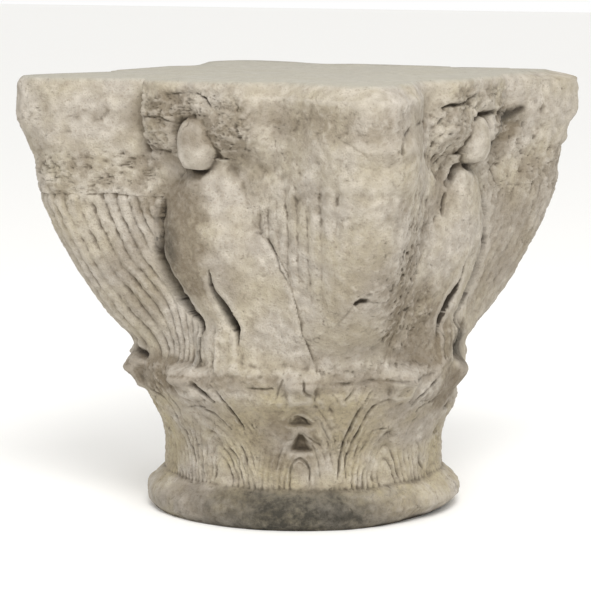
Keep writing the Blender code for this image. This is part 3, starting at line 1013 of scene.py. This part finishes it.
@dataclass(frozen=True)
class WeatheredLimestone:
    """Fine-grained limestone, chisel-dressed and long weathered: matt, pale and warm, stained brown-grey.

    The grain gives a dull, powdery surface with no shine, so it only scatters light. Grime settles in
    every cut and pit, and the cuts, crevices and hollows are also painted darker as painted shade; sharp
    raised edges are painted paler than the faces.
    """

    face: str = "#9E968A"
    pale: str = "#BFB7AB"
    bed: str = "#A29F93"
    # the stain, grime and soot colours paint dirt, and also painted shade in recesses, creases, cuts and
    # shaded patches
    stain_and_shade: str = "#716553"
    grime_and_shade: str = "#342A1E"
    soot_and_shade: str = "#37332A"
    cream: str = "#A89C7C"
    roughness: float = 0.92
    ior: float = 1.55
    cream_mm: float = 55.0
    mottle_mm: float = 26.0
    cloud_mm: float = 8.0
    blotch_mm: float = 4.0
    speck_mm: float = 1.8
    bump_mm: float = 1.6

    def material(self) -> bpy.types.Material:
        """The finish, from the marks on the mesh and noise at the stone's own scales.

        Returns:
            The material.
        """
        stone = bpy.data.materials.new("limestone_weathered")
        stone.use_nodes = True
        tree = stone.node_tree
        shader = tree.nodes["Principled BSDF"]
        shader.inputs["Roughness"].default_value = self.roughness
        shader.inputs["IOR"].default_value = self.ior
        shader.inputs["Metallic"].default_value = 0.0
        space = add_node(tree, "ShaderNodeTexCoord").outputs["Object"]

        values: dict[str, bpy.types.NodeSocket] = {}
        for name, size_mm, detail, roughness in (
            ("cream", self.cream_mm, 3.0, 0.55),
            ("mottle", self.mottle_mm, 5.0, 0.6),
            ("cloud", self.cloud_mm, 5.0, 0.65),
            ("blotch", self.blotch_mm, 3.0, 0.6),
            ("speck", self.speck_mm, 3.0, 0.65),
        ):
            inputs = {"Vector": space, "Scale": 1 / (size_mm * MM), "Detail": detail, "Roughness": roughness}
            values[name] = add_node(tree, "ShaderNodeTexNoise", inputs=inputs).outputs["Fac"]
        for name in ("lower", "rough", "stain_and_shade", "bed", "crease_shade_ridge_pale", "hollow", "grime_and_shade", "soot_and_shade"):
            values[name] = add_node(tree, "ShaderNodeAttribute", {"attribute_name": name}).outputs["Fac"]

        # Each coat lies over those before it. Its share is the product of its values, and each value
        # is stretched from the range that is given to 0 and a top.
        coats = (
            (self.pale, ("cloud", 0.42, 0.62, 0.95)),
            (self.cream, ("cream", 0.40, 0.62, 1.0), ("lower", -1.2, 1.0, 0.75)),
            (self.stain_and_shade, ("mottle", 0.44, 0.60, 1.0), ("rough", 0.15, 0.9, 0.60)),
            (self.stain_and_shade, ("stain_and_shade", 0.0, 2.0, 2.0), ("mottle", 0.15, 0.50, 1.0), ("cloud", 0.05, 0.58, 0.95)),
            (self.stain_and_shade, ("blotch", 0.48, 0.70, 0.55)),
            (self.bed, ("bed", 0.0, 1.0, 0.65)),
            # The next six coats follow the relief: raised ridges are painted paler, and recesses, creases,
            # cuts and crevices darker, with stain and grime that are partly dirt and partly painted shade.
            (self.pale, ("crease_shade_ridge_pale", -0.10, -0.50, 0.30)),
            (self.stain_and_shade, ("hollow", 0.15, 0.80, 0.65)),
            (self.grime_and_shade, ("hollow", 0.75, 1.0, 0.85)),
            (self.stain_and_shade, ("crease_shade_ridge_pale", 0.10, 0.85, 1.0), ("cloud", 0.25, 0.60, 0.80)),
            (self.grime_and_shade, ("crease_shade_ridge_pale", 0.35, 1.0, 0.55)),
            (self.grime_and_shade, ("grime_and_shade", 0.0, 1.0, 0.93)),
            (self.soot_and_shade, ("soot_and_shade", 0.0, 2.0, 2.0), ("cloud", -0.30, 0.62, 0.95)),
            (self.grime_and_shade, ("speck", 0.60, 0.76, 0.50)),
        )
        colour = linear(self.face)
        for layer, *parts in coats:
            share = None
            for name, low, high, top in parts:
                inputs = {"Value": values[name], "From Min": low, "From Max": high, "To Max": top}
                part = add_node(tree, "ShaderNodeMapRange", {"clamp": True}, inputs).outputs["Result"]
                if share is None:
                    share = part
                else:
                    product = {"operation": "MULTIPLY", "use_clamp": True}
                    share = add_node(tree, "ShaderNodeMath", product, {0: share, 1: part}).outputs[0]
            inputs = {0: share, 6: colour, 7: linear(layer)}
            colour = add_node(tree, "ShaderNodeMix", {"data_type": "RGBA"}, inputs).outputs[2]
        tree.links.new(colour, shader.inputs["Base Color"])

        # Grain under 2 mm is too fine for the mesh, and is drawn as bump.
        grain = {0: values["blotch"], 1: values["speck"]}
        grain = add_node(tree, "ShaderNodeMath", {"operation": "ADD"}, grain)
        inputs = {"Strength": 0.8, "Distance": self.bump_mm * MM, "Height": grain.outputs[0]}
        bump = add_node(tree, "ShaderNodeBump", inputs=inputs)
        tree.links.new(bump.outputs["Normal"], shader.inputs["Normal"])
        return stone


@dataclass
class Studio:
    """A plain pale floor, soft light and the camera at the photograph's angle."""

    floor_size: float = 30.0
    camera_place: tuple[float, float, float] = (1.218, -2.1096, 0.5036)
    camera_target: tuple[float, float, float] = (-0.0063, -0.00365, 0.18575)
    lens_mm: float = 167.2
    sensor_mm: float = 36.0
    facing: float = 30.0
    light_turn: float = 8.0
    light_distance: float = 2.0
    light_height: float = 2.1
    light_size: float = 1.2
    light_watts: float = 56.0
    sky: str = "#FFFFFF"
    floor_colour: str = "#F4F3F0"

    def floor(self) -> bpy.types.Object:
        """The floor, just under the stone.

        Returns:
            The floor object.
        """
        half = 0.5 * self.floor_size
        mesh = bpy.data.meshes.new("floor")
        corners = [(-half, -half, 0.0), (half, -half, 0.0), (half, half, 0.0), (-half, half, 0.0)]
        mesh.from_pydata(corners, [], [(0, 1, 2, 3)])
        plaster = bpy.data.materials.new("plaster_white")
        plaster.use_nodes = True
        shader = plaster.node_tree.nodes["Principled BSDF"]
        shader.inputs["Base Color"].default_value = linear(self.floor_colour)
        shader.inputs["Roughness"].default_value = 0.95
        mesh.materials.append(plaster)
        floor = bpy.data.objects.new("floor", mesh)
        bpy.context.scene.collection.objects.link(floor)
        return floor

    def light(self) -> None:
        """Adds a soft square light that faces the stone, a little to the right of the camera."""
        data = bpy.data.lights.new("softbox", "AREA")
        data.size = self.light_size
        data.energy = self.light_watts
        lamp = bpy.data.objects.new("softbox", data)
        bpy.context.scene.collection.objects.link(lamp)
        a = np.radians(self.facing + self.light_turn)
        aside, ahead = self.light_distance * np.sin(a), self.light_distance * np.cos(a)
        lamp.location = (aside, -ahead, self.light_height)
        toward = Vector((0.0, 0.0, 0.2)) - lamp.location
        lamp.rotation_euler = toward.to_track_quat("-Z", "Y").to_euler()

    def world(self) -> None:
        """Sets the even light that comes from all round."""
        world = bpy.data.worlds.new("studio")
        world.use_nodes = True
        background = world.node_tree.nodes["Background"]
        background.inputs["Color"].default_value = linear(self.sky)
        background.inputs["Strength"].default_value = 1.0
        bpy.context.scene.world = world

    def camera(self) -> None:
        """Adds the camera and makes it the scene's."""
        data = bpy.data.cameras.new("camera")
        data.lens = self.lens_mm
        data.sensor_width = self.sensor_mm
        camera = bpy.data.objects.new("camera", data)
        bpy.context.scene.collection.objects.link(camera)
        camera.location = self.camera_place
        toward = Vector(self.camera_target) - camera.location
        camera.rotation_euler = toward.to_track_quat("-Z", "Y").to_euler()
        bpy.context.scene.camera = camera

    def build(self) -> None:
        """Sets the floor, the lights and the camera."""
        self.camera()
        self.floor()
        self.light()
        self.world()
        bpy.context.scene.view_settings.view_transform = "Standard"


LINES = (
    # the broken boss over the near bird, and the deep outline of its head
    Line(((-21.0, 352), (-20.7, 337), (-19.0, 331)), 1.5, 2.6, Cut.BREAK),
    Line(((-9.3, 352), (-9.6, 339), (-9.6, 325), (-9.4, 308)), 1.6, 3.0),
    Line(((-7.5, 351), (-4.6, 355), (0.5, 357)), 1.4, 2.0),
    Line(((-12.3, 311), (-5.1, 310), (-1.2, 311)), 1.2, 1.6),
    Line(((-22.1, 353), (-14.0, 354), (-8.6, 348)), 1.2, 2.2, Cut.BREAK, 1.6),
    Line(((-22.7, 330), (-19.4, 329), (-16.6, 325), (-13.6, 324)), 1.2, 2.0, Cut.BREAK, 1.2),
    Line(((-11.3, 374), (-6.2, 375), (-1.0, 375), (1.6, 371), (4.0, 363)), 1.2, 2.0, Cut.BREAK, 1.4),
    # the dark cut under the free wing
    Line(
        ((-20.6, 246), (-19.4, 236), (-18.6, 221), (-16.2, 210), (-13.6, 199), (-9.7, 189), (-5.6, 177)),
        3.2, 3.0,
    ),
    # the crack down the wing's inner edge
    Line(((14.6, 259), (18.3, 255), (20.6, 249), (22.2, 241), (23.7, 229), (26.1, 215)), 1.1, 1.9, Cut.BREAK),
    # the groove and the hole on the corner between the two birds
    Line(((36.3, 346), (39.0, 338), (42.8, 326)), 1.3, 1.2, Cut.WORN),
    Line(((42.4, 203), (43.8, 206), (45.6, 206)), 2.4, 3.4, Cut.BREAK, 1.6),
    Line(((45.6, 206), (48.0, 204), (51.5, 203)), 1.1, 1.2, Cut.WORN),
    Line(((37.3, 177), (40.6, 193), (42.6, 205)), 1.1, 1.2, Cut.WORN),
    # the wing arch, the cracks and the cavity of the right-hand bird
    Line(((49.0, 330), (49.4, 342), (52.0, 350)), 2.0, 2.2, Cut.BREAK),
    Line(((54.0, 351), (61.1, 353), (66.0, 350)), 1.8, 1.8, Cut.BREAK),
    Line(((71.7, 361), (75.7, 364), (81.7, 364), (86.2, 369), (89.7, 374)), 1.8, 3.4, Cut.BREAK, 2.0),
    Line(((88.0, 349), (93.0, 352), (106.1, 354), (114.0, 355)), 3.0, 4.0, Cut.BREAK, 3.0),
    Line(((81.0, 292), (83.5, 300), (86.5, 308), (98.0, 309), (106.0, 314)), 4.4, 6.0, Cut.BREAK, 2.0),
    Line(((103.0, 312), (108.0, 322), (111.0, 334), (114.5, 346), (118.5, 354)), 4.4, 3.6, Cut.BREAK),
    Line(((103.0, 348), (111.0, 347), (116.5, 350), (119.5, 355)), 5.0, 3.4, Cut.BREAK),
    Line(((80.5, 288), (78.5, 278), (77.5, 268)), 2.0, 2.4, Cut.BREAK),
    Line(((111.1, 309), (112.3, 299), (113.9, 287)), 1.4, 1.6, Cut.WORN),
    Line(((82.0, 169), (84.0, 154), (82.9, 141)), 1.4, 2.2),
    # the leaf left of the front one: its right-hand ribs, and the ribs that fan out on its left
    Line(((-7.6, 129), (-5.9, 121), (-3.6, 115), (-1.3, 110)), 2.6, 4.2),
    Line(((-1.5, 126), (2.2, 113), (6.0, 94), (7.2, 85)), 1.9, 3.0),
    Line(((-7.2, 102), (-3.7, 99), (-1.6, 93), (1.9, 84)), 1.6, 2.0),
    Line(((-16.0, 101), (-10.1, 104), (-6.7, 104)), 1.1, 1.0, Cut.WORN),
    Line(((-2.9, 70), (-0.3, 66), (1.8, 62), (3.6, 55), (4.0, 40)), 1.3, 1.6),
    Line(((4.4, 71), (5.9, 65), (6.6, 54), (7.1, 41)), 1.4, 2.0),
    Line(((-36.1, 112), (-30.8, 111), (-27.0, 104), (-24.8, 79), (-22.2, 64), (-19.3, 47)), 1.8, 2.6),
    Line(((-27.5, 121), (-23.6, 117), (-21.9, 105), (-20.4, 89), (-16.0, 60)), 1.5, 2.0),
    Line(((-35.2, 105), (-41.0, 87), (-40.6, 76), (-37.7, 65)), 2.2, 3.4),
    *(
        Line((top, (foot, 36)), 1.2, 1.4)
        for top, foot in (
            ((-33.3, 52), -29.3), ((-25.5, 58), -22.3), ((-20.9, 56), -18.5), ((-15.6, 60), -14.1),
            ((-9.0, 64), -8.4),
        )
    ),
    # the front leaf: the curled tip's sides, its small arches and the niche at its foot
    Line(((29.8, 136), (30.1, 127), (31.7, 122), (33.8, 115)), 1.7, 3.0),
    Line(((23.7, 135), (22.2, 125), (21.2, 117)), 1.4, 1.6, Cut.WORN),
    Line(((25.0, 95), (25.8, 99), (27.6, 100), (30.5, 97), (32.3, 91)), 1.4, 2.0),
    Line(((22.8, 77), (25.5, 78), (29.0, 85), (33.0, 78), (36.4, 72)), 1.2, 1.6),
    Line(((24.3, 36), (24.7, 47), (25.4, 56), (28.4, 61), (31.3, 56), (32.3, 47), (32.3, 36)), 1.5, 2.6),
    Line(((33.6, 104), (35.9, 95), (38.1, 85), (40.2, 76)), 1.2, 1.2, Cut.WORN),
    Line(((33.2, 73), (35.3, 63), (36.5, 51), (36.9, 42)), 1.2, 1.4),
    Line(((22.0, 72), (20.3, 62), (19.1, 51)), 1.2, 1.2, Cut.WORN),
    # the leaf right of the front one
    Line(((43.7, 42), (44.1, 55), (45.1, 68), (47.3, 91), (49.0, 103), (53.3, 127)), 1.8, 2.8),
    Line(((43.7, 115), (45.5, 121), (47.5, 128), (52.3, 130)), 1.5, 2.0),
    Line(((47.4, 42), (46.9, 55), (48.3, 70), (50.6, 84), (53.9, 107), (58.6, 113), (61.5, 110)), 1.7, 2.4),
    Line(((50.7, 54), (52.7, 65), (55.0, 72), (57.0, 84), (60.4, 86), (63.1, 85)), 1.5, 2.0),
    Line(((53.7, 41), (55.1, 49), (58.1, 57)), 1.2, 1.2),
    # the leaf on the far right
    Line(((70.2, 103), (72.0, 112), (75.0, 118), (78.6, 126), (82.0, 133)), 1.9, 2.8),
    Line(((74.0, 97), (77.1, 102), (83.0, 106), (86.1, 112)), 1.6, 2.2),
    Line(((73.7, 76), (74.8, 87), (77.6, 93)), 1.3, 1.6),
    Line(((81.6, 69), (85.4, 59), (84.6, 50), (88.7, 40)), 1.8, 2.0, Cut.BREAK),
    # the undercut of the ledge, and the hole behind its left tip
    Line(((38.0, 130), (45.7, 130), (53.8, 132), (64.2, 129), (77.0, 132)), 2.0, 2.0, Cut.BREAK),
    Line(((11.0, 125), (20.5, 126)), 1.4, 1.8, Cut.BREAK),
    Line(((-44.0, 146), (-39.0, 143.5), (-34.0, 140)), 5.2, 6.5),
)

ROUGH = (
    Patch(-34.0, 300.0, 18.0, 26.0, 0.7),
    Patch(24.0, 296.0, 14.0, 24.0, 0.25),
    Patch(10.0, 340.0, 8.0, 26.0, 0.8),
    Patch(112.0, 335.0, 12.0, 26.0, 1.0),
    Patch(57.0, 215.0, 10.0, 60.0, 1.0),
    Patch(66.0, 185.0, 12.0, 34.0, 0.9),
    Patch(64.0, 262.0, 10.0, 32.0, 0.9),
    Patch(73.0, 330.0, 10.0, 34.0, 0.8),
    Patch(34.0, 352.0, 18.0, 16.0, 0.4),
    Patch(60.0, 278.0, 16.0, 18.0, 0.5),
    Patch(-24.0, 130.0, 24.0, 14.0, 0.5),
    Patch(20.0, 140.0, 40.0, 8.0, 0.45),
    Patch(60.0, 140.0, 30.0, 9.0, 0.50),
)

# Brown stains, and among them patches of painted shade and painted shadow, marked below.
STAINS_AND_SHADE = (
    Patch(-27.0, 210.0, 9.0, 45.0, 0.6),
    # stain with painted shade: the dark left side of the near bird's breast
    Patch(-11.0, 252.0, 13.0, 62.0, 1.7),
    Patch(0.0, 215.0, 12.0, 22.0, 0.6),
    Patch(-5.0, 350.0, 22.0, 26.0, 0.75),
    # stain with painted shade under the ledge on the left
    Patch(-27.0, 128.0, 24.0, 20.0, 1.3),
    # painted shadow of the leaf low on the right
    Patch(92.0, 114.0, 14.0, 26.0, 1.2),
    Patch(24.0, 75.0, 16.0, 40.0, 0.9),
    Patch(42.0, 90.0, 60.0, 34.0, 0.4),
    Patch(20.0, 129.0, 80.0, 9.0, 0.8),
    Patch(45.0, 205.0, 10.0, 60.0, 0.4),
    Patch(57.0, 205.0, 9.0, 60.0, 0.7),
    Patch(70.0, 175.0, 18.0, 45.0, 0.9),
    Patch(82.0, 155.0, 12.0, 26.0, 1.0),
    Patch(118.0, 240.0, 16.0, 70.0, 0.6),
    # painted shade in the cavity of the right-hand bird, with the next patch
    Patch(112.0, 342.0, 8.0, 20.0, 1.7),
    Patch(105.0, 318.0, 5.0, 14.0, 1.2),
    # painted shade on the recessed face low on the right
    Patch(99.0, 148.0, 9.0, 24.0, 1.6),
    Patch(78.0, 286.0, 7.0, 22.0, 0.7),
    Patch(52.0, 345.0, 12.0, 24.0, 0.5),
    Patch(30.0, 352.0, 16.0, 20.0, 0.35),
    Patch(-8.0, 18.0, 34.0, 16.0, 0.8),
    Patch(60.0, 12.0, 26.0, 14.0, 0.7),
    Patch(180.0, 60.0, 60.0, 30.0, 0.5),
    Patch(200.0, 300.0, 40.0, 60.0, 0.5),
)

# Soot, and among it patches of painted shade, marked below.
SOOT_AND_SHADE = (
    # the front of the neck ring is darkened, most at its foot
    Patch(26.0, 8.0, 52.0, 64.0, 1.14),
    Patch(26.0, -2.0, 84.0, 18.0, 0.95),
    # painted shade in the cavity of the right-hand bird, with the next patch
    Patch(114.5, 347.0, 7.0, 9.0, 0.8),
    Patch(109.0, 328.0, 4.0, 16.0, 0.6),
    # painted shade on the recessed face low on the right
    Patch(99.0, 149.0, 14.0, 24.0, 0.9),
    # soot with painted shade: the darkest part of the near bird's breast, beside the crevice under the free
    # wing
    Patch(-15.5, 244.0, 6.0, 30.0, 0.7),
    Patch(-8.0, 166.0, 5.0, 16.0, 0.2),
    Patch(-30.0, 8.0, 40.0, 20.0, 0.35),
    Patch(90.0, 0.0, 34.0, 9.0, 0.8),
)


def main() -> None:
    """Builds the stone, dresses it and sets the studio."""
    logging.basicConfig(level=logging.INFO, format="%(message)s")
    low, high = CAD_BOX
    block = Block(height=high.z)
    coarse = 1.0
    grid = Grid(columns=int(1200 * coarse), rows=int(520 * coarse), height=high.z)
    capital = CarvedStone(
        block, LeafRing(), Bird(), HeadAndBoss(), Weather(block), grid,
        lines=LINES, rough_patches=ROUGH, stain_and_shade_patches=STAINS_AND_SHADE, soot_and_shade_patches=SOOT_AND_SHADE,
    )
    stone = capital.mesh()
    points = np.empty(3 * len(stone.data.vertices), np.float32)
    stone.data.vertices.foreach_get("co", points)
    inside = np.clip(points.reshape(-1, 3), np.array(low), np.array(high))
    stone.data.vertices.foreach_set("co", inside.ravel())
    stone.data.materials.clear()
    stone.data.materials.append(WeatheredLimestone().material())
    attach(stone, "root")
    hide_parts("capital")
    LOG.info("%s: %d faces", stone.name, len(stone.data.polygons))

    Studio().build()
    LOG.info("studio: floor, lights and camera")


if __name__ == "__main__":
    main()
